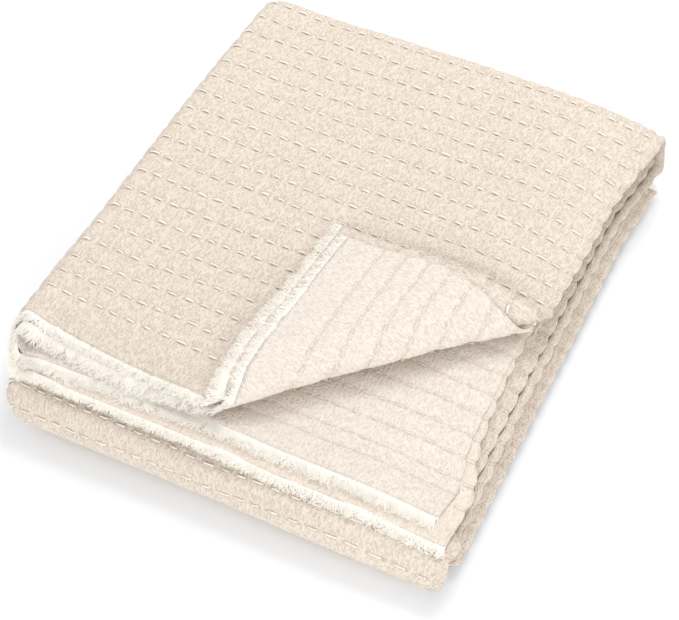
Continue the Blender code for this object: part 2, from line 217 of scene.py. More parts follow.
def settle(x, y, z):
    # The stack droops at its free edges, waves by a slow sine, is round at its back corners,
    # leans out towards its lowest layer, bows along its sides, and tapers and skews as a whole
    back = throw["topRun"] + throw["endRadius"]
    x, y = roundCorner(x, y, -throw["sideRadius"], back, -1)
    x, y = roundCorner(x, y, throw["rightHalf"], back, 1)
    droop = 1 - throw["rightDroop"] * nearTo(throw["rightHalf"] - x, throw["rightWidth"])
    droop = droop + throw["leftRise"] * nearTo(x + throw["sideRadius"], throw["leftWidth"])
    droop = droop - throw["frontDroop"] * smooth(0.5 - y / throw["frontWidth"])
    turns = x * throw["wavesAcross"] + y * throw["wavesAlong"]
    ripple = throw["wave"] * np.sin(2 * math.pi * turns)
    z = z * droop * (1 + ripple * smooth(y / throw["frontWidth"]))
    low = 1 - z / throw["height"]
    across = np.clip((x + throw["sideRadius"]) / (throw["rightHalf"] + throw["sideRadius"]), 0, 1)
    along = np.clip(y / back, 0, 1)
    corner = tuck["rollCorner"] * low ** 2
    corner = corner * rise(x, *tuck["rollCornerX"]) * rise(y, *tuck["rollCornerY"])
    x, y = x + tuck["rollCornerOut"] * corner, y - corner
    x = x - tuck["right"] * low * rise(x, *tuck["rightX"])
    x = x + tuck["left"] * low * nearTo(x + throw["sideRadius"], tuck["leftWidth"]) \
        * nearTo(y, tuck["leftDepth"])
    x = x + tuck["backCorner"] * rise(y, *tuck["backCornerY"]) \
        * rise(x, *tuck["backCornerX"]) * (1 - tuck["backCornerEase"] * low)
    lean = throw["frontLean"] * (low - 0.5) * (1 - across)
    x = x + lean * (1 - smooth(y / throw["frontLeanLength"]))
    x = x + (throw["lowLean"] + throw["lowSpread"] * across) * low
    bow = throw["leftBow"] * (1 - across) + throw["rightBow"] * across ** 2 * (1 - low) ** 2
    x = x - bow * 4 * along * (1 - along) - throw["centreX"]
    y = y + throw["backBow"] * along * 4 * across * (1 - across) - throw["centreY"]
    return x * (1 + throw["taper"] * y), y + throw["skew"] * x, z


# How the long free edges sit, in metres: how far each shift goes, how deep it reaches in from
# the edge (Width), and where it acts along the cloth, as rise and hump take it. rollWide and
# rollTight count from the middle of the front roll, in halves of its arc
edges = {
    "scallop": 0.0025, "creamScallop": 0.0009, "scallopWidth": 0.03, "backEase": 0.7,
    "backEaseFrom": (0.46, 0.03), "backEaseTo": (0.62, -0.03),
    "flap": 0.007, "flapWidth": 0.07, "flapAlong": (0.16, 0.08),
    "rollInset": 0.044, "rollInsetWidth": 0.12, "rollWide": (1.3, -0.4),
    "rollTight": (1.0, -0.5), "lowReach": 0.0112, "rollReach": 0.026, "reachWidth": 0.14,
    "reachFrom": (0.26, 0.08), "reachStop": -0.06,
    "bulge": 0.009, "bulgeWidth": 0.12, "bulgeAlong": (0.06, 0.035),
}

# How the two halves close towards each other at those edges, and at the left of the front end
mouth = {
    "sand": 0.0095, "cream": 0.0045, "width": 0.034, "topShare": 0.35, "topFrom": (0.24, 0.12),
    "backShare": 0.9, "backFrom": (0.42, 0.06), "turnSlack": 0.01, "backStop": -0.03,
    "lip": 0.008, "lipWidth": 0.028, "lipRise": 0.05, "lipStop": -0.04,
    "rollFill": 0.009, "rollFillWidth": 0.04, "flapClear": -0.05, "lowFrom": (0.12, 0.12),
    "front": 0.0060, "frontDepth": 0.07, "frontTo": (0.20, -0.08), "frontFrom": (-0.34, 0.08),
    "foldClear": 0.025,
}


def rollShare(y, place):
    # 1 over the middle of the front roll, falling to 0 past its ends
    return rise(np.abs(y - throw["frontRoll"]) / (throw["endArc"] / 2), *place)


def edgeDistance(x, cream):
    # How far a flat point lies in from the long edge of its half
    left = throw["sideArc"] + (throw["leftHalfCream"] if cream else throw["leftHalf"])
    return np.where(x > 0, throw["rightHalf"] - x, left + x)


def drawSides(x, y, inward, cream):
    # Every stitched row draws the edge in a little; beside the turned corner the sand edge is
    # let out; at the front roll the upper half's edge goes in, and the lower half's comes out
    # there, along the middle run and, as a bell along y, near the front end
    scallop = edges["creamScallop"] if cream else edges["scallop"]
    overBack = rise(y, *edges["backEaseFrom"]) * rise(y, *edges["backEaseTo"])
    scallop = scallop * (1 - edges["backEase"] * overBack)
    x = x - np.sign(x) * nearTo(inward, edges["scallopWidth"]) * scallop * rowDepth(x, y)
    if not cream:
        wide = edges["flap"] * hump(y, *edges["flapAlong"])
        x = x + wide * nearTo(inward, edges["flapWidth"]) * (x > 0)
    roll = rollShare(y, edges["rollWide"])
    x = x - edges["rollInset"] * roll * nearTo(inward, edges["rollInsetWidth"]) * (x > 0)
    under = rise(y, *edges["reachFrom"]) * rise(y, throw["frontRoll"], edges["reachStop"])
    reachOut = edges["lowReach"] * under + edges["rollReach"] * rollShare(y, edges["rollTight"])
    x = x - reachOut * nearTo(inward, edges["reachWidth"]) * (x < 0)
    bulge = edges["bulge"] * hump(y, *edges["bulgeAlong"])
    return x - bulge * nearTo(inward, edges["bulgeWidth"]) * (x < 0)


def closeMouth(x, y, inward, cream):
    # How far a point sinks towards the other half: at the long edges, less over the top and
    # hardly at the back turn, more at the sand ply's lip in the middle run and in the front
    # roll, and not on the turned corner or where the lower half begins; and at the left of the
    # front end, but for the side fold
    backTurn, frontRoll = throw["backTurn"], throw["frontRoll"]
    roll = rollShare(y, edges["rollWide"])
    overBack = rise(y, *mouth["backFrom"]) \
        * rise(y, backTurn + mouth["turnSlack"], mouth["backStop"])
    close = mouth["topShare"] + (1 - mouth["topShare"]) * rise(y, *mouth["topFrom"])
    close = close * np.where(x > 0, 1 - mouth["backShare"] * overBack, 1 - roll)
    shut = (mouth["cream"] if cream else mouth["sand"]) * close * nearTo(inward, mouth["width"])
    if not cream:
        middle = rise(y, backTurn - mouth["turnSlack"], mouth["lipRise"]) \
            * rise(y, frontRoll, mouth["lipStop"])
        shut = shut + mouth["lip"] * middle * (x > 0) * nearTo(inward, mouth["lipWidth"])
        shut = shut + mouth["rollFill"] * roll * (x > 0) * nearTo(inward, mouth["rollFillWidth"])
    flapU = (x - throw["flapStart"]) * math.sin(throw["flapAngle"])
    flapU = flapU - y * math.cos(throw["flapAngle"])
    clear = rise(flapU, 0, mouth["flapClear"]) * (x > 0) + rise(y, *mouth["lowFrom"]) * (x <= 0)
    front = nearTo(y, mouth["frontDepth"]) * rise(x, *mouth["frontTo"]) \
        * rise(x, *mouth["frontFrom"])
    halfArc = throw["sideArc"] / 2
    offFold = rise(np.abs(x + halfArc), halfArc, mouth["foldClear"])
    return shut * clear + mouth["front"] * front * offFold


def recessShare(x):
    # 1 at the side fold, 0 in the lower half and beside the turned corner
    quarter = throw["rightHalf"] * 0.25
    places = (-throw["sideArc"], 0, quarter, 2 * quarter)
    return np.interp(x, places, (0, 1, throw["recessBeside"], 0))


def lay(x, y, n, cream):
    # Carries flat points of one ply through the shaping of its edges, the turned corner, the
    # slip of the lower half, the side fold, the end folds and the settling of the stack
    if not cream:
        lower = rise(-x, throw["sideArc"], throw["flareStart"])
        x = x * (1 + throw["edgeFlare"] * lower * hump(y, 0, throw["flareLength"]))
    inward = edgeDistance(x, cream)
    x = drawSides(x, y, inward, cream)
    n = n - closeMouth(x, y, inward, cream)
    radius = throw["flapCreamRadius"] if cream else throw["flapSandRadius"]
    x, y, n = turnCorner(x, y, n, radius, throw["flapPlyGap"] if cream else 0.0)
    y = y + throw["frontRecess"] * recessShare(x) * (1 - smooth(y / throw["recessLength"]))
    turn = np.clip(-x, 0, throw["sideArc"]) / throw["sideRadius"]
    y = y - throw["slip"] * (0.5 - 0.5 * np.cos(turn))
    x, w = foldSide(x, n)
    y, z = foldEnds(y, w)
    x, y, z = settle(x, y, z)
    return np.stack((x, y, np.maximum(z, tuck["floorClear"])), axis=-1)


def creamEnd(x):
    # How far the cream ply's front end lies behind the sand ply's, straight between places
    left = [-throw["sideArc"] - throw["leftHalfCream"] * share for share in (0.5, 0.25, 0)]
    right = [0, throw["rightHalf"] * 0.25, throw["rightHalf"] * 0.5]
    ends = (throw["creamSetBack"], throw["creamBeside"], throw["creamAtFold"],
            -throw["creamForward"], -throw["creamForward"], 0)
    return np.interp(x, left + right, ends)


# Creases pressed in while the throw lay folded. Each line has its flat start and end, its width
# and its height; the trough's share, place and width are counted in the ridge's own
crease = {
    "fade": 0.2, "trough": 0.6, "troughPlace": 2, "troughWidth": 1.6,
    "lines": [
        ((0.236, 0.06), (0.243, 0.50), 0.0035, 0.0011),
        ((0.107, 0.30), (0.104, 0.42), 0.0040, 0.0008),
        ((0.195, 0.02), (0.193, 0.16), 0.0035, 0.0007),
        ((0.355, 0.30), (0.362, 0.49), 0.0040, 0.0006),
        ((0.060, 0.10), (0.071, 0.27), 0.0040, 0.0005),
    ],
}


def creaseRelief(x, y):
    # Each crease is a narrow bell across its line with a wider, shallower trough beside it, and
    # fades out at its two ends
    total = np.zeros_like(x)
    for start, stop, width, height in crease["lines"]:
        run = np.subtract(stop, start)
        length = math.hypot(*run)
        share = ((x - start[0]) * run[0] + (y - start[1]) * run[1]) / length ** 2
        off = ((x - start[0]) * run[1] - (y - start[1]) * run[0]) / length
        fade = smooth(share / crease["fade"]) * smooth((1 - share) / crease["fade"])
        trough = hump(off, crease["troughPlace"] * width, crease["troughWidth"] * width)
        total += height * fade * (hump(off, 0, width) - crease["trough"] * trough)
    return total


def sandRelief(x, y):
    # Valleys along the rows, dips where one dash ends and the next begins, soft uneven puffs
    # and swells, grains in the band before the first row, and the creases on the upper half
    depth = rowDepth(x, y)
    between = 0.5 - 0.5 * np.cos(2 * math.pi * dashPlace(x, y))
    plain = rise(y, *weave["bandEnd"])
    margin = smooth(edgeDistance(x, False) / weave["marginWidth"])
    h = -weave["valley"] * depth * (1 - weave["valleyEase"] * between) \
        * (weave["marginShare"] + (1 - weave["marginShare"]) * margin)
    h -= weave["cellDip"] * between ** weave["cellPower"] * (1 - depth) * plain
    h += weave["puff"] * softNoise(x, y, weave["puffCell"], weave["seed"] + 3) * (1 - depth)
    h += weave["swell"] * softNoise(x, y, weave["swellCell"], weave["seed"] + 4)
    grain = softNoise(x, y, weave["bandCell"], weave["seed"] + 5)
    h += weave["bandGrain"] * grain * (1 - plain)
    return h + creaseRelief(x, y) * (x > 0)


def creamRelief(x, y):
    # The same rows seen from the back are shallow grooves in a smoother cloth
    h = -weave["creamValley"] * rowDepth(x, y) ** weave["creamPower"]
    h += weave["creamPuff"] * softNoise(x, y, weave["creamPuffCell"], weave["seed"] + 6)
    return h + weave["creamSwell"] * softNoise(x, y, weave["creamSwellCell"], weave["seed"] + 7)


def linesOf(*runs):
    # Grid lines from runs of (start, stop, step), each run divided evenly
    parts = [np.linspace(a, b, max(2, round((b - a) / step) + 1))[:-1] for a, b, step in runs]
    return np.concatenate(parts + [[runs[-1][1]]])


def facesOutward(verts, faces):
    # The signed volume of a closed piece tells whether its faces point inwards
    total = 0.0
    for size in sorted({len(f) for f in faces}):
        group = np.array([f for f in faces if len(f) == size])
        for k in range(1, size - 1):
            a, b, c = verts[group[:, 0]], verts[group[:, k]], verts[group[:, k + 1]]
            total += np.einsum("ij,ij->", a, np.cross(b, c))
    return faces if total > 0 else [f[::-1] for f in faces]


def addObject(name, verts, faces, material, uv=None, side=None):
    # uv holds flat metres, and a second map counts dashes across and rows along; side says how
    # far each point belongs to the side that shows
    faces = facesOutward(verts, faces)
    mesh = bpy.data.meshes.new(name)
    mesh.from_pydata(verts.tolist(), [], faces)
    if uv is not None:
        corner = np.zeros(len(mesh.loops), int)
        mesh.loops.foreach_get("vertex_index", corner)
        mesh.uv_layers.new(name="flatCloth").data.foreach_set("uv", uv[corner].ravel())
        x, y = uv.T
        rows = (y - weave["firstRow"] + rowWander(x, y)) / weave["rowPitch"]
        grid = np.stack([dashPlace(x, y), rows], 1)
        mesh.uv_layers.new(name="dashGrid").data.foreach_set("uv", grid[corner].ravel())
    if side is not None:
        mesh.attributes.new("outer", "FLOAT", "POINT").data.foreach_set("value", side)
    mesh.polygons.foreach_set("use_smooth", np.ones(len(mesh.polygons), bool))
    mesh.materials.append(material)
    mesh.update()
    thing = bpy.data.objects.new(name, mesh)
    bpy.context.scene.collection.objects.link(thing)
    return thing


# How a ply's hidden side looks: 1 as the side that shows, 0 with the full inner tint
hiddenSide = {"upperHalf": 0.9, "lowerHalf": 0.0}


def shell(xs, ys, outer, innerAndHighlight, cream, name, material):
    # A closed thin shell: a fine grid for the side that shows, and for the other side one with
    # every second line across; the two are joined round their four edges. An odd number of lines
    # lets both grids end at the same edges
    if len(xs) % 2 == 0:
        xs = np.insert(xs, 1, (xs[0] + xs[1]) / 2)
    nx, ny = len(xs), len(ys)
    gx, gy = np.meshgrid(xs, ys, indexing="ij")
    hx, hy = gx[::2], gy[::2]
    mx = hx.shape[0]
    first = lay(*outer(gx, gy), cream).reshape(-1, 3)
    second = lay(*innerAndHighlight(hx, hy), cream).reshape(-1, 3)
    base = nx * ny
    i, j = np.meshgrid(np.arange(nx - 1), np.arange(ny - 1), indexing="ij")
    a = (i * ny + j).ravel()
    top = np.stack([a, a + ny, a + ny + 1, a + 1], 1)
    i, j = np.meshgrid(np.arange(mx - 1), np.arange(ny - 1), indexing="ij")
    b = base + (i * ny + j).ravel()
    low = np.stack([b, b + 1, b + ny + 1, b + ny], 1)
    j = np.arange(ny - 1)
    left = np.stack([j, j + 1, base + j + 1, base + j], 1)
    right = np.stack([(nx - 1) * ny + j, base + (mx - 1) * ny + j,
                      base + (mx - 1) * ny + j + 1, (nx - 1) * ny + j + 1], 1)
    k = np.arange(mx - 1)
    rims = []
    for edge, turn in ((0, 1), (ny - 1, -1)):
        rim = np.stack([2 * k * ny + edge, base + k * ny + edge, base + (k + 1) * ny + edge,
                        (2 * k + 2) * ny + edge, (2 * k + 1) * ny + edge], 1)
        rims.append(rim[:, ::turn])
    faces = []
    for group in (top, low, left, right, *rims):
        faces += group.tolist()
    uv = np.concatenate([np.stack([gx, gy], -1).reshape(-1, 2),
                         np.stack([hx, hy], -1).reshape(-1, 2)])
    hidden = np.where(hx > 0, hiddenSide["upperHalf"], hiddenSide["lowerHalf"]).ravel()
    side = np.concatenate([np.ones(base), hidden])
    return addObject(name, np.concatenate([first, second]), faces, material, uv, side)


# Shader pieces
def newGroup(name, inputs, outputs):
    # A shader group of plain numbers, with its inputs' first values, and its two end nodes
    group = bpy.data.node_groups.new(name, "ShaderNodeTree")
    for label, value in inputs.items():
        made = group.interface.new_socket(name=label, in_out="INPUT",
                                          socket_type="NodeSocketFloat")
        made.default_value = value
    for label in outputs:
        group.interface.new_socket(name=label, in_out="OUTPUT", socket_type="NodeSocketFloat")
    return group, group.nodes.new("NodeGroupInput"), group.nodes.new("NodeGroupOutput")


def maths(tree, operation, first, second=None, third=None):
    # One arithmetic node, whose inputs are numbers or other nodes' outputs
    node = tree.nodes.new("ShaderNodeMath")
    node.operation = operation
    for slot, value in enumerate((first, second, third)):
        if value is None:
            continue
        if isinstance(value, (int, float)):
            node.inputs[slot].default_value = value
        else:
            tree.links.new(value, node.inputs[slot])
    return node.outputs[0]


def uvScaled(tree, across, along):
    # The place on the flat cloth, in metres, times a scale across and one along
    source = tree.nodes.new("ShaderNodeUVMap")
    source.uv_map = "flatCloth"
    place = tree.nodes.new("ShaderNodeMapping")
    place.inputs["Scale"].default_value = (across, along, 1)
    tree.links.new(source.outputs[0], place.inputs["Vector"])
    return place.outputs[0]


def noiseOf(tree, vector, scale, detail, roughness=0.5):
    node = tree.nodes.new("ShaderNodeTexNoise")
    node.inputs["Scale"].default_value = scale
    node.inputs["Detail"].default_value = detail
    node.inputs["Roughness"].default_value = roughness
    tree.links.new(vector, node.inputs["Vector"])
    return node.outputs["Fac"]


def clothNoise(tree, scales, detail, roughness=0.5):
    # Noise with so many cells in each metre across and along the flat cloth
    return noiseOf(tree, uvScaled(tree, *scales), 1.0, detail, roughness)


def cellOffset(tree, value, pitch):
    # Distance in metres from the nearest whole number of a counted coordinate
    part = maths(tree, "FLOORED_MODULO", maths(tree, "ADD", value, 0.5), 1.0)
    return maths(tree, "MULTIPLY", maths(tree, "SUBTRACT", part, 0.5), pitch)


def bell(tree, offset, width):
    # 1 at offset 0, falling straight to 0 at the width, with a soft foot
    share = maths(tree, "DIVIDE", maths(tree, "ABSOLUTE", offset), width)
    return maths(tree, "SMOOTH_MAX", maths(tree, "SUBTRACT", 1.0, share), 0.0, 0.1)


# Cells in each metre across and along, and the shares of each in the tone
gauzeLook = {
    "streakCells": (560, 150), "crinkleCells": (420, 260), "weftCells": (150, 800),
    "blotchCells": (60, 45), "streakTone": 0.62, "crinkleTone": 0.20, "blotchTone": 0.04,
    "crinkleTop": 0.9, "crinkleSlope": 4.0,
}


def gauzeGroup():
    # Fine streaks along the warp, weft lines, slow blotches, and a crinkle of sharp ridges:
    # a noise's distance from its middle value, turned over
    look = gauzeLook
    inputs = {"Streaks": 0.5, "Crinkle": 0.4, "Weft": 0.15}
    group, start, end = newGroup("gauze grain", inputs, ("Height", "Tone"))
    streak = clothNoise(group, look["streakCells"], 1)
    crinkle = clothNoise(group, look["crinkleCells"], 0)
    crinkle = maths(group, "ABSOLUTE", maths(group, "SUBTRACT", crinkle, 0.5))
    crinkle = maths(group, "MULTIPLY", crinkle, look["crinkleSlope"])
    crinkle = maths(group, "SUBTRACT", look["crinkleTop"], crinkle)
    weft = clothNoise(group, look["weftCells"], 2)
    blotch = clothNoise(group, look["blotchCells"], 3, 0.6)
    height = maths(group, "MULTIPLY", streak, start.outputs["Streaks"])
    height = maths(group, "MULTIPLY_ADD", crinkle, start.outputs["Crinkle"], height)
    height = maths(group, "MULTIPLY_ADD", weft, start.outputs["Weft"], height)
    group.links.new(height, end.inputs["Height"])
    tone = maths(group, "MULTIPLY", blotch, look["blotchTone"])
    tone = maths(group, "MULTIPLY_ADD", streak, look["streakTone"], tone)
    tone = maths(group, "MULTIPLY_ADD", crinkle, look["crinkleTone"], tone)
    group.links.new(tone, end.inputs["Tone"])
    return group


# Places and widths in metres, and strengths; before startRow, counted in rows, none of the
# painted shade, highlight and bump of the dashes shows
dashLook = {
    "half": 0.0061, "dot": 0.0017, "line": 0.0011, "wobble": 0.0012, "wobbleCells": (190, 190),
    "frontLine": 0.0019, "frontShare": 0.9, "backLine": 0.0018, "backShare": 0.6,
    "startRow": -0.45, "gather": 0.0017, "patchCells": (55, 24), "patchFrom": 0.42,
    "patchSlope": 5.0, "patchLeast": 0.1,
}


def shadingGroup():
    # Round each dash: Shade is a painted shadow, a line along each of its two sides where the
    # raised thread shades the cloth, and a dot of painted shade in the hole at each end; Groove
    # is the faint line of the row, a dent in the bump and, on the cream, painted shade in its
    # valley; and Gather, in patches, is the line from the gap between two dashes to the gap in
    # the next row, a ridge in the bump with a painted highlight along it
    look = dashLook
    inputs = {"Half": look["half"], "Dot": look["dot"], "Line": look["line"]}
    group, start, end = newGroup("dash marks", inputs, ("Shade", "Groove", "Gather"))
    source = group.nodes.new("ShaderNodeUVMap")
    source.uv_map = "dashGrid"
    split = group.nodes.new("ShaderNodeSeparateXYZ")
    group.links.new(source.outputs[0], split.inputs[0])
    wobble = clothNoise(group, look["wobbleCells"], 1)
    wobble = maths(group, "MULTIPLY", maths(group, "SUBTRACT", wobble, 0.5), look["wobble"])
    u = cellOffset(group, split.outputs["X"], weave["dashPitch"])
    v = maths(group, "ADD", cellOffset(group, split.outputs["Y"], weave["rowPitch"]), wobble)
    off = maths(group, "SUBTRACT", maths(group, "ABSOLUTE", u), start.outputs["Half"])
    far = maths(group, "SQRT", maths(group, "ADD", maths(group, "MULTIPLY", off, off),
                                     maths(group, "MULTIPLY", v, v)))
    dot = bell(group, far, start.outputs["Dot"])
    inside = maths(group, "LESS_THAN", off, 0.0)
    front = bell(group, maths(group, "ADD", v, look["frontLine"]), start.outputs["Line"])
    behind = bell(group, maths(group, "SUBTRACT", v, look["backLine"]), start.outputs["Line"])
    sides = maths(group, "MULTIPLY_ADD", behind, look["backShare"],
                  maths(group, "MULTIPLY", front, look["frontShare"]))
    sides = maths(group, "MULTIPLY", sides, inside)
    after = maths(group, "GREATER_THAN", split.outputs["Y"], look["startRow"])
    # Shade is painted shadow: the thread's shadow on the cloth at its sides, and shade in the
    # holes at its ends
    shade = maths(group, "MULTIPLY", maths(group, "MAXIMUM", dot, sides), after)
    group.links.new(shade, end.inputs["Shade"])
    # Groove: the line of the row, a dent in the bump and, where a finish gives it strength,
    # painted shade in the row's valley
    groove = bell(group, v, start.outputs["Line"])
    group.links.new(maths(group, "MULTIPLY", groove, after), end.inputs["Groove"])
    # Gather: a ridge in the bump, with a painted highlight along its crest
    gap = maths(group, "SUBTRACT", maths(group, "ABSOLUTE", u), weave["dashPitch"] / 2)
    patch = clothNoise(group, look["patchCells"], 1)
    patch = maths(group, "SUBTRACT", patch, look["patchFrom"])
    patch = maths(group, "MULTIPLY", patch, look["patchSlope"])
    patch = maths(group, "MAXIMUM", patch, look["patchLeast"])
    patch = maths(group, "MINIMUM", patch, 1.0)
    gap = bell(group, maths(group, "ADD", gap, wobble), look["gather"])
    gap = maths(group, "MULTIPLY", maths(group, "MULTIPLY", gap, after), patch)
    group.links.new(gap, end.inputs["Gather"])
    return group


# The reach is in metres, and the slope says over what part of it the grains fade: 1 / slope
bandLook = {"reach": 0.032, "cells": (420, 300), "slope": 3.0}


def endGroup():
    # Small grains close to the front end, where the plies are woven together
    group, start, end = newGroup("end band", {"Reach": bandLook["reach"]}, ("Height",))
    split = group.nodes.new("ShaderNodeSeparateXYZ")
    group.links.new(uvScaled(group, 1, 1), split.inputs[0])
    grains = clothNoise(group, bandLook["cells"], 2, 0.6)
    near = maths(group, "DIVIDE", split.outputs["Y"], start.outputs["Reach"])
    near = maths(group, "MAXIMUM", maths(group, "SUBTRACT", 1.0, near), 0.0)
    near = maths(group, "MINIMUM", maths(group, "MULTIPLY", near, bandLook["slope"]), 1.0)
    group.links.new(maths(group, "MULTIPLY", grains, near), end.inputs["Height"])
    return group


gauze, dashShading, endBand = gauzeGroup(), shadingGroup(), endGroup()

# Colours, and how strongly the grain and the painted shade and highlight by the dashes show in
# each cloth;
# the shade colour is that of the painted shadow and shade, and the hidden side's colour also
# paints the gather highlight
finish = {
    "sand": {"light": (0.785, 0.705, 0.622, 1), "dark": (0.655, 0.55, 0.45, 1),
             "innerAndHighlight": (0.88, 0.79, 0.69, 1), "shade": (0.36, 0.25, 0.15, 1), "bump": 0.0012,
             "streaks": 0.6, "weft": 0.1, "groove": 0.0, "gather": 0.6, "shading": 0.45},
    "cream": {"light": (0.83, 0.755, 0.685, 1), "dark": (0.72, 0.635, 0.55, 1),
              "innerAndHighlight": (0.83, 0.755, 0.685, 1), "shade": (0.46, 0.34, 0.23, 1), "bump": 0.0010,
              "streaks": 0.35, "weft": 0.35, "groove": 0.26, "gather": 0.15, "shading": 0.42},
    "stitch": {"light": (0.93, 0.87, 0.79, 1), "dark": (0.86, 0.79, 0.70, 1), "cells": 600},
    "yarn": {"light": (1.0, 0.968, 0.905, 1), "dark": (0.96, 0.91, 0.835, 1), "cells": 900},
}
# The part of the finish that both cloths share, and both threads
clothLook = {"roughness": 0.95, "specular": 0.15, "sheen": 0.1, "sheenRoughness": 0.6,
             "darkTo": 0.32, "lightFrom": 0.52, "innerTint": 0.5, "bandHeight": 1.1,
             "grooveHeight": -0.15, "gatherHeight": 0.6}
threadLook = {"roughness": 0.9, "specular": 0.1, "darkTo": 0.3, "lightFrom": 0.55}


def newMaterial(name, look):
    # A plain material with its node tree and its shader
    material = bpy.data.materials.new(name)
    material.use_nodes = True
    shader = material.node_tree.nodes["Principled BSDF"]
    shader.inputs["Roughness"].default_value = look["roughness"]
    shader.inputs["Specular IOR Level"].default_value = look["specular"]
    return material, material.node_tree, shader


def placed(tree, group):
    # A node that holds a shader group
    node = tree.nodes.new("ShaderNodeGroup")
    node.node_tree = group
    return node


def toneRamp(tree, value, colours, look):
    # The dark colour up to one value, the light one from another
    ramp = tree.nodes.new("ShaderNodeValToRGB")
    dark, light = ramp.color_ramp.elements
    dark.position, dark.color = look["darkTo"], colours["dark"]
    light.position, light.color = look["lightFrom"], colours["light"]
    tree.links.new(value, ramp.inputs["Fac"])
    return ramp.outputs["Color"]


def tinted(tree, colour, tint, mask, share):
    # Colour blended towards a tint by a share of a mask
    node = tree.nodes.new("ShaderNodeMix")
    node.data_type = "RGBA"
    node.inputs["B"].default_value = tint
    tree.links.new(maths(tree, "MULTIPLY", mask, share), node.inputs["Factor"])
    tree.links.new(colour, node.inputs["A"])
    return node.outputs["Result"]


def clothMaterial(name, look):
    # The gauze's tone, with the inner tint on the hidden side, and then painted light tinted over
    # it:
    # painted shade along the groove, a painted highlight along the gather and painted shadow
    # round the dashes; the bump adds the end band, the groove and the gather lines
    material, tree, shader = newMaterial(name, clothLook)
    shader.inputs["Sheen Weight"].default_value = clothLook["sheen"]
    shader.inputs["Sheen Roughness"].default_value = clothLook["sheenRoughness"]
    grain, shading, band = placed(tree, gauze), placed(tree, dashShading), placed(tree, endBand)
    grain.inputs["Streaks"].default_value = look["streaks"]
    grain.inputs["Weft"].default_value = look["weft"]
    colour = toneRamp(tree, grain.outputs["Tone"], look, clothLook)
    side = tree.nodes.new("ShaderNodeAttribute")
    side.attribute_name = "outer"
    hidden = maths(tree, "SUBTRACT", 1.0, side.outputs["Fac"])
    colour = tinted(tree, colour, look["innerAndHighlight"], hidden, clothLook["innerTint"])
    # Painted shade along the groove of each row
    colour = tinted(tree, colour, look["shade"], shading.outputs["Groove"], look["groove"])
    # Painted highlight along each gather ridge, in the hidden side's lighter colour
    colour = tinted(tree, colour, look["innerAndHighlight"], shading.outputs["Gather"], look["gather"])
    # Painted shadow along the sides of each dash, and painted shade in the holes at its ends
    colour = tinted(tree, colour, look["shade"], shading.outputs["Shade"], look["shading"])
    tree.links.new(colour, shader.inputs["Base Color"])
    height = grain.outputs["Height"]
    for source, strength in ((band.outputs["Height"], clothLook["bandHeight"]),
                             (shading.outputs["Groove"], clothLook["grooveHeight"]),
                             (shading.outputs["Gather"], clothLook["gatherHeight"])):
        height = maths(tree, "MULTIPLY_ADD", source, strength, height)
    bump = tree.nodes.new("ShaderNodeBump")
    bump.inputs["Distance"].default_value = look["bump"]
    tree.links.new(height, bump.inputs["Height"])
    tree.links.new(bump.outputs["Normal"], shader.inputs["Normal"])
    return material


def threadMaterial(name, look):
    # Slow changes of tone from thread to thread, in so many cells to the metre
    material, tree, shader = newMaterial(name, threadLook)
    place = tree.nodes.new("ShaderNodeTexCoord")
    tone = noiseOf(tree, place.outputs["Object"], look["cells"], 2)
    tree.links.new(toneRamp(tree, tone, look, threadLook), shader.inputs["Base Color"])
    return material


sandMaterial = clothMaterial("sand gauze", finish["sand"])
creamMaterial = clothMaterial("cream gauze", finish["cream"])
stitchMaterial = threadMaterial("stitch thread", finish["stitch"])
yarnMaterial = threadMaterial("fringe yarn", finish["yarn"])

# The sand ply: the steps of its grid, finer where it shows, and how thick it is
reach = throw["sideArc"] + throw["leftHalf"]
sideStart, backTurn, frontTurn = -throw["sideArc"], throw["backTurn"], throw["frontTurn"]
rollEnd = frontTurn + throw["endArc"]
sandGrid = {"fine": 0.0042, "side": 0.0034, "loose": 0.02, "edge": 0.004, "edgeBand": 0.03,
            "sideSlack": 0.01, "end": 0.003, "endBand": 0.012, "hiddenRow": 0.0066,
            "thick": 0.0019}
edgeStop, sideFrom = -reach + sandGrid["edgeBand"], sideStart - sandGrid["sideSlack"]
sandX = linesOf((-reach, edgeStop, sandGrid["edge"]), (edgeStop, sideFrom, sandGrid["loose"]),
                (sideFrom, 0, sandGrid["side"]), (0, throw["rightHalf"], sandGrid["fine"]))
sandY = linesOf((0, sandGrid["endBand"], sandGrid["end"]),
                (sandGrid["endBand"], backTurn, sandGrid["fine"]),
                (backTurn, frontTurn, sandGrid["hiddenRow"]),
                (frontTurn, rollEnd + throw["slip"], sandGrid["fine"]),
                (rollEnd + throw["slip"], throw["length"], sandGrid["hiddenRow"]))


def sandOuter(x, y):
    # The flat side of the double cloth, raised by the relief
    return x, y, throw["cloth"] + sandRelief(x, y)


def sandInner(x, y):
    # A thickness below it, with half of the relief
    return x, y, throw["cloth"] - sandGrid["thick"] + 0.5 * sandRelief(x, y)


sandPly = shell(sandX, sandY, sandOuter, sandInner, False, "sandPly", sandMaterial)
print("scene: sand ply", len(sandPly.data.polygons))

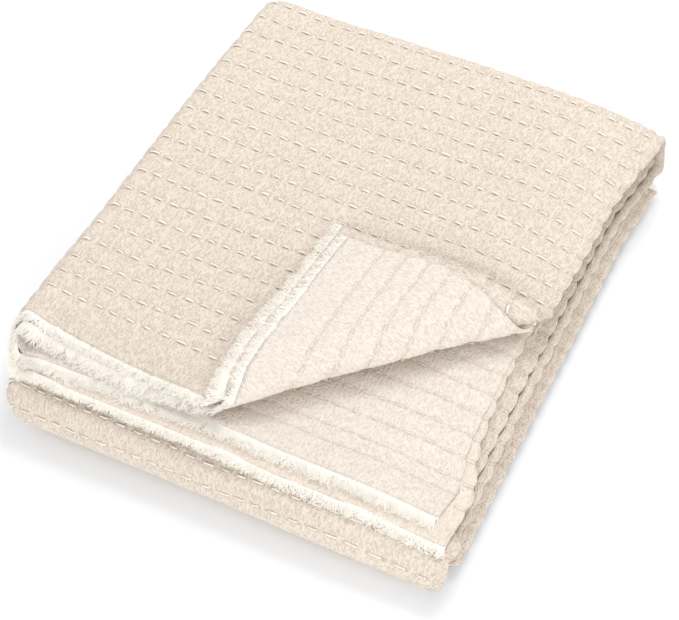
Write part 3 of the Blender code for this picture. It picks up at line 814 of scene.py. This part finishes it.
# The cream ply, in the same way: its grid, and how its long edges lie inside the sand ply's
creamReach = throw["sideArc"] + throw["leftHalfCream"]
creamGrid = {"fine": 0.0044, "lowHalf": 0.006, "bend": 0.006, "loose": 0.02, "row": 0.009,
             "lowFrom": 0.17, "flapFrom": 0.18, "frontTo": 0.27, "thick": 0.0017}
creamEdge = {"inset": 0.036, "insetFrom": (0.25, 0.05), "rightX": (0.30, 0.16),
             "lowX": (0.30, 0.14), "bow": 0.009, "bowAlong": (0.105, 0.055),
             "pull": 0.014, "pullFrom": (0.14, 0.08), "flapTo": (0.30, -0.06)}
lowStop = sideStart - creamGrid["lowFrom"]
creamX = linesOf((-creamReach, lowStop, creamGrid["lowHalf"]),
                 (lowStop, sideStart, creamGrid["loose"]), (sideStart, 0, creamGrid["bend"]),
                 (0, creamGrid["flapFrom"], creamGrid["loose"]),
                 (creamGrid["flapFrom"], throw["rightHalf"], creamGrid["fine"]))
creamY = linesOf((0, creamGrid["frontTo"], creamGrid["fine"]),
                 (creamGrid["frontTo"], frontTurn, creamGrid["row"]),
                 (frontTurn, rollEnd, creamGrid["bend"]),
                 (rollEnd, throw["length"], creamGrid["row"]))


def creamAcross(x, y):
    # The cream ply stops short of the sand ply's edges by the inset, except near its front end,
    # where its right edge bows out in a bell and is pulled in again further on
    bow = creamEdge["bow"] * hump(y, *creamEdge["bowAlong"])
    bow = bow - creamEdge["pull"] * rise(y, *creamEdge["pullFrom"])
    inset = creamEdge["inset"] * rise(y, *creamEdge["insetFrom"])
    return x + rise(x, *creamEdge["rightX"]) * (bow * rise(y, *creamEdge["flapTo"]) - inset) \
        + rise(-x, *creamEdge["lowX"]) * inset


def creamPlace(x, y):
    # Its front end is set back, and its first rows follow
    return y + creamEnd(x) * (1 - smooth(y / throw["creamFade"]))


def creamOuter(x, y):
    # The other flat side of the double cloth, where the relief points down
    return creamAcross(x, y), creamPlace(x, y), -creamRelief(x, y)


def creamInner(x, y):
    # A thickness above it, with half of the relief
    return creamAcross(x, y), creamPlace(x, y), creamGrid["thick"] - 0.5 * creamRelief(x, y)


creamPly = shell(creamX, creamY, creamOuter, creamInner, True, "creamPly", creamMaterial)
print("scene: cream ply", len(creamPly.data.polygons))

# The stitches: short raised threads along the rows, whose two ends dive into the cloth. Pairs
# in the first part are the least and the most of a random value
stitch = {
    "long": 0.0140, "radius": 0.00135, "creamLong": 0.0095, "creamRadius": 0.00050,
    "rings": 5, "sides": 4, "seed": 77, "lift": 0.0014, "archPower": 0.6, "dive": 0.0012,
    "taper": 0.45, "stray": 0.0002, "tilts": (-0.0007, 0.0003), "lengths": (0.68, 1.1),
    "widths": (0.7, 1.1), "levels": (-0.0001, 0.0002),
    # Where they stand, in metres from an edge, a turn or the front end of the cloth. rollTo is a
    # share of the front roll's arc, and rollHeight of the full height
    "leftGap": 0.006, "rightGap": 0.004, "sideSlack": 0.01, "backSlack": 0.02,
    "frontSlack": 0.02, "rollSlack": 0.06, "edgeBand": 0.05, "rollGap": 0.008,
    "rollTo": 0.52, "rollHeight": 0.6, "flapBack": 0.27, "flapBand": 0.06,
    "creamBack": 0.30, "creamFlap": 0.19, "creamLow": 0.17,
}


def tubeFaces(count, rings, sides):
    # Faces of many closed tubes whose points run tube by tube, ring by ring
    s, k, r = np.meshgrid(np.arange(count), np.arange(rings - 1), np.arange(sides), indexing="ij")
    a = (s * rings + k) * sides + r
    b = (s * rings + k) * sides + (r + 1) % sides
    quads = np.stack([a, b, b + sides, a + sides], -1).reshape(-1, 4)
    cap = np.arange(count)[:, None] * rings * sides + np.arange(sides)
    caps = np.concatenate([cap[:, ::-1], cap + (rings - 1) * sides])
    return quads.tolist() + caps.tolist()


def stitchesOn(rows, xs, cream, name, underside=False, height=1.0):
    # Each thread is a four-sided tube along x that thins with the cube of the way from its
    # middle. Its arch is a cosine to a power below 1, less a fourth power that sinks the ends;
    # underside puts it on the ply's inner side, and height flattens it
    rng = np.random.default_rng(stitch["seed"] + cream)
    gx, gy = np.meshgrid(xs, rows, indexing="ij")
    gx, gy = gx.ravel(), gy.ravel()
    count, rings, sides = len(gx), stitch["rings"], stitch["sides"]
    gx = gx - dashWander(gx, gy)
    long = stitch["creamLong"] if cream else stitch["long"]
    half = long / 2 * rng.uniform(*stitch["lengths"], count)
    radius = stitch["creamRadius"] if cream else stitch["radius"]
    t = np.linspace(-1, 1, rings)
    around = np.arange(sides) * 2 * math.pi / sides
    x = gx[:, None] + half[:, None] * t
    y = (gy - rowWander(gx, gy) + rng.normal(0, stitch["stray"], count))[:, None]
    y = y + rng.uniform(*stitch["tilts"], count)[:, None] * t
    arch = stitch["lift"] * np.cos(t * math.pi / 2) ** stitch["archPower"]
    arch = height * (arch - stitch["dive"] * np.abs(t) ** 4)
    arch = arch + rng.uniform(*stitch["levels"], count)[:, None]
    thick = rng.uniform(*stitch["widths"], (count, 1, 1)) * radius
    thick = thick * (1 - stitch["taper"] * np.abs(t) ** 3)[:, None]
    y = y[:, :, None] + thick * np.cos(around)
    x = np.repeat(x[:, :, None], sides, 2)
    up = arch[:, :, None] + height * thick * np.sin(around)
    surface = creamOuter if cream else sandInner if underside else sandOuter
    px, py, pn = surface(x, y)
    points = lay(px, py, pn - up if cream or underside else pn + up, cream)
    return addObject(name, points.reshape(-1, 3), tubeFaces(count, rings, sides), stitchMaterial)


allRows = weave["firstRow"] + weave["rowPitch"] * np.arange(weave["rows"])
firstDash = math.ceil((-reach + stitch["leftGap"]) / weave["dashPitch"])
lastDash = (throw["rightHalf"] - stitch["rightGap"]) // weave["dashPitch"]
dashX = weave["dashPitch"] * np.arange(firstDash, lastDash + 1)
offSide = sideStart - stitch["sideSlack"]
flapRight = throw["rightHalf"] - stitch["flapBand"]

# The top, the back turn and the front roll of the upper half, then both long edges of the rest
shown = allRows < backTurn + stitch["backSlack"]
shown |= (allRows > frontTurn - stitch["frontSlack"]) & (allRows < rollEnd + stitch["rollSlack"])
sandStitches = stitchesOn(allRows[shown], dashX[dashX > offSide], False, "sandStitches")
edgeDashes = dashX[(dashX > throw["rightHalf"] - stitch["edgeBand"])
                   | (dashX < -reach + stitch["edgeBand"])]
edgeStitches = stitchesOn(allRows[~shown], edgeDashes, False, "edgeStitches")

# The lower half shows its sand side on the front roll, down to where the roll turns under
rollRows = allRows > frontTurn + throw["slip"] - stitch["frontSlack"]
rollRows &= allRows < frontTurn + stitch["rollTo"] * throw["endArc"] + throw["slip"]
rollDashes = dashX[(dashX < offSide) & (dashX > -reach + stitch["rollGap"])]
rollStitches = stitchesOn(allRows[rollRows], rollDashes, False, "rollStitches",
                          height=stitch["rollHeight"])

# The inner side of the sand edge on the turned corner, and the cream side that shows by it
edgeBacks = stitchesOn(allRows[allRows < stitch["flapBack"]], dashX[dashX > flapRight],
                       False, "edgeBacks", underside=True)
creamRows = allRows[allRows < stitch["creamBack"]]
creamDashes = dashX[(dashX > stitch["creamFlap"]) | (dashX < sideStart - stitch["creamLow"])]
creamStitches = stitchesOn(creamRows, creamDashes, True, "creamStitches")
print("scene: stitches", len(sandStitches.data.polygons))

# The fringes: thousands of loose yarn ends that sway, curl and droop. Pairs are the least and
# the most of a random value, but the From and To ones are soft steps across, as rise takes them,
# and the Weight ones are the share of the droop in the lower and in the upper half
fringe = {
    "front": 7000, "back": 1300, "long": 0.0165, "radius": 0.00045, "rings": 5, "seed": 5,
    "scatter": 0.0003, "lengths": (0.55, 1.02), "clumpLeast": 0.78, "clumpMore": 0.30,
    "clumpCell": 0.004, "clumpSeed": 90, "creamMore": 0.28, "creamMoreTo": (0.22, -0.04),
    "lowLess": 0.18, "lowLessFade": 0.02, "lowLessFrom": (-0.32, 0.12),
    "sway": 0.42, "lean": 0.6, "leanCell": 0.006, "leanSeed": 60, "curl": 0.0022,
    "bends": (2, 5), "phases": (0, 6), "shorten": 0.12, "root": 0.0015, "creamLevel": 0.0009,
    "sandLevel": 0.0010, "level": 0.0006, "spread": 0.0014, "spreadPower": 1.3,
    "taper": 0.55, "flat": 0.5, "droop": 0.24, "droops": (0.3, 1.2),
    "sandWeight": (0.8, 0.35), "creamWeight": (0.1, 1.0), "floorGap": 0.0002,
}


def fringeOn(cream, back, name):
    # Each strand is a flattened three-sided tube that leaves the ply's end along y. Its sway
    # grows with the square of the way out, a sine curls it, and it droops with the square as
    # well; strands near each other have like lengths and lean the same way
    rng = np.random.default_rng(fringe["seed"] + 2 * cream + back)
    count, rings = fringe["back"] if back else fringe["front"], fringe["rings"]
    x0 = np.linspace(-creamReach if cream else -reach, throw["rightHalf"], count)
    x0 = x0 + rng.uniform(-fringe["scatter"], fringe["scatter"], count)
    t = np.linspace(0, 1, rings)
    clump = softNoise(x0, x0 * 0, fringe["clumpCell"], fringe["clumpSeed"] + cream) * 0.5 + 0.5
    long = fringe["long"] * rng.uniform(*fringe["lengths"], count) \
        * (fringe["clumpLeast"] + fringe["clumpMore"] * clump)
    if cream:
        long = long * (1 + fringe["creamMore"] * rise(x0, *fringe["creamMoreTo"]))
    else:
        nearFold = rise(-x0, throw["sideArc"], fringe["lowLessFade"]) \
            * rise(x0, *fringe["lowLessFrom"])
        long = long * (1 - fringe["lowLess"] * nearFold)
    lean = fringe["lean"] * softNoise(x0, x0 * 0, fringe["leanCell"], fringe["leanSeed"] + cream)
    sway = (rng.normal(0, fringe["sway"], count) + lean) * long
    curl = fringe["curl"] * rng.uniform(-1, 1, (count, 1))
    bends = rng.uniform(*fringe["bends"], (count, 1))
    phase = rng.uniform(*fringe["phases"], (count, 1))
    curl = curl * np.sin(t * bends + phase) * t
    x = x0[:, None] + sway[:, None] * t ** 2 + curl
    out = long[:, None] * t * (1 - fringe["shorten"] * t) - fringe["root"]
    middle = fringe["creamLevel"] if cream else throw["cloth"] - fringe["sandLevel"]
    n = middle + rng.uniform(-fringe["level"], fringe["level"], (count, 1)) \
        + rng.normal(0, fringe["spread"], (count, 1)) * t ** fringe["spreadPower"]
    thick = fringe["radius"] * (1 - fringe["taper"] * t) * np.ones((count, 1))
    corners = np.radians([30, 150, 270]) * (-1 if cream else 1)
    sides = len(corners)
    xx = x[:, :, None] + thick[:, :, None] * np.cos(corners)
    nn = n[:, :, None] + fringe["flat"] * thick[:, :, None] * np.sin(corners)
    oo = np.repeat(out[:, :, None], sides, 2)
    if back:
        yy = throw["length"] + oo
    else:
        yy = -oo + (creamEnd(xx) if cream else 0)
    if cream:
        xx = creamAcross(xx, yy)
    points = lay(xx, yy, nn, cream)
    lower, upper = fringe["creamWeight"] if cream else fringe["sandWeight"]
    weight = np.where(x0 < sideStart, lower, upper)[:, None, None]
    fall = weight * fringe["droop"] * rng.uniform(*fringe["droops"], (count, 1, 1)) \
        * long[:, None, None] * (t ** 2)[None, :, None]
    floorGap = fringe["floorGap"] * (1 + rng.random((count, 1, 1)))
    points[..., 2] = np.maximum(points[..., 2] - fall, floorGap)
    faces = tubeFaces(count, rings, sides)
    thing = addObject(name, points.reshape(-1, 3), faces, yarnMaterial)
    thing.data.shade_flat()
    return thing


fringes = {
    "frontSandFringe": (False, False, ("fringe_front_sand_low", "fringe_front_sand_top",
                                       "fringe_front_sand_corner")),
    "frontCreamFringe": (True, False, ("fringe_front_cream_low", "fringe_front_cream_top",
                                       "fringe_front_cream_corner")),
    "backSandFringe": (False, True, ("fringe_back_sand_low", "fringe_back_sand_top")),
    "backCreamFringe": (True, True, ("fringe_back_cream_low", "fringe_back_cream_top")),
}
made = {}
for name, (cream, back, nodes) in fringes.items():
    made[name] = fringeOn(cream, back, name)
    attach(made[name], "root")
    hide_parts(*nodes)
print("scene: fringes", [len(o.data.polygons) for o in made.values()])

for piece, slot in ((sandPly, "sand_cloth"), (creamPly, "cream_cloth"),
                    (sandStitches, "cream_cloth"), (edgeStitches, "cream_cloth"),
                    (rollStitches, "cream_cloth"), (edgeBacks, "cream_cloth"),
                    (creamStitches, "cream_cloth")):
    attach(piece, "root")
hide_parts("cloth_sand")
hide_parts("cloth_cream")

# Floor, light and camera
studio = {"floorSize": 24.0, "floorDrop": 0.0003, "floorColour": (0.915, 0.932, 0.952, 1),
          "floorRoughness": 0.8, "world": 0.85, "worldColour": (1, 1, 1, 1),
          "key": 24, "keyPlace": (-0.1, 1.3, 2.1), "keySize": 1.2,
          "fill": 18.5, "fillPlace": (1.25, -1.8, 0.8), "fillSize": 1.6}
bpy.ops.mesh.primitive_plane_add(size=studio["floorSize"], location=(0, 0, -studio["floorDrop"]))
floor = bpy.context.object
floor.name = "floor"
floorMaterial = bpy.data.materials.new("studio floor")
floorMaterial.use_nodes = True
floorShader = floorMaterial.node_tree.nodes["Principled BSDF"]
floorShader.inputs["Base Color"].default_value = studio["floorColour"]
floorShader.inputs["Roughness"].default_value = studio["floorRoughness"]
floor.data.materials.append(floorMaterial)

world = bpy.data.worlds.new("studio")
bpy.context.scene.world = world
world.use_nodes = True
world.node_tree.nodes["Background"].inputs["Color"].default_value = studio["worldColour"]
world.node_tree.nodes["Background"].inputs["Strength"].default_value = studio["world"]


def softLight(name, place, size, power):
    # A square lamp that faces the middle of the throw
    data = bpy.data.lights.new(name, "AREA")
    data.size = size
    data.energy = power
    lamp = bpy.data.objects.new(name, data)
    lamp.location = place
    lamp.rotation_euler = (-Vector(place)).to_track_quat("-Z", "Y").to_euler()
    bpy.context.scene.collection.objects.link(lamp)


softLight("key light", studio["keyPlace"], studio["keySize"], studio["key"])
softLight("fill light", studio["fillPlace"], studio["fillSize"], studio["fill"])

view = {"azimuth": 27.43, "elevation": 55.5, "distance": 1.797,
        "target": (0.0159, -0.0506, 0.04), "focalPixels": 1700, "imagePixels": 679,
        "sensor": 36}
cameraData = bpy.data.cameras.new("camera")
camera = bpy.data.objects.new("camera", cameraData)
bpy.context.scene.collection.objects.link(camera)
cameraData.sensor_width = view["sensor"]
cameraData.lens = view["focalPixels"] / view["imagePixels"] * view["sensor"]
turn, rising = math.radians(view["azimuth"]), math.radians(view["elevation"])
backward = Vector((math.sin(turn) * math.cos(rising), -math.cos(turn) * math.cos(rising),
                   math.sin(rising)))
camera.location = Vector(view["target"]) + backward * view["distance"]
camera.rotation_euler = (-backward).to_track_quat("-Z", "Y").to_euler()
bpy.context.scene.camera = camera
bpy.context.scene.view_settings.view_transform = "Standard"
print("scene: camera set")
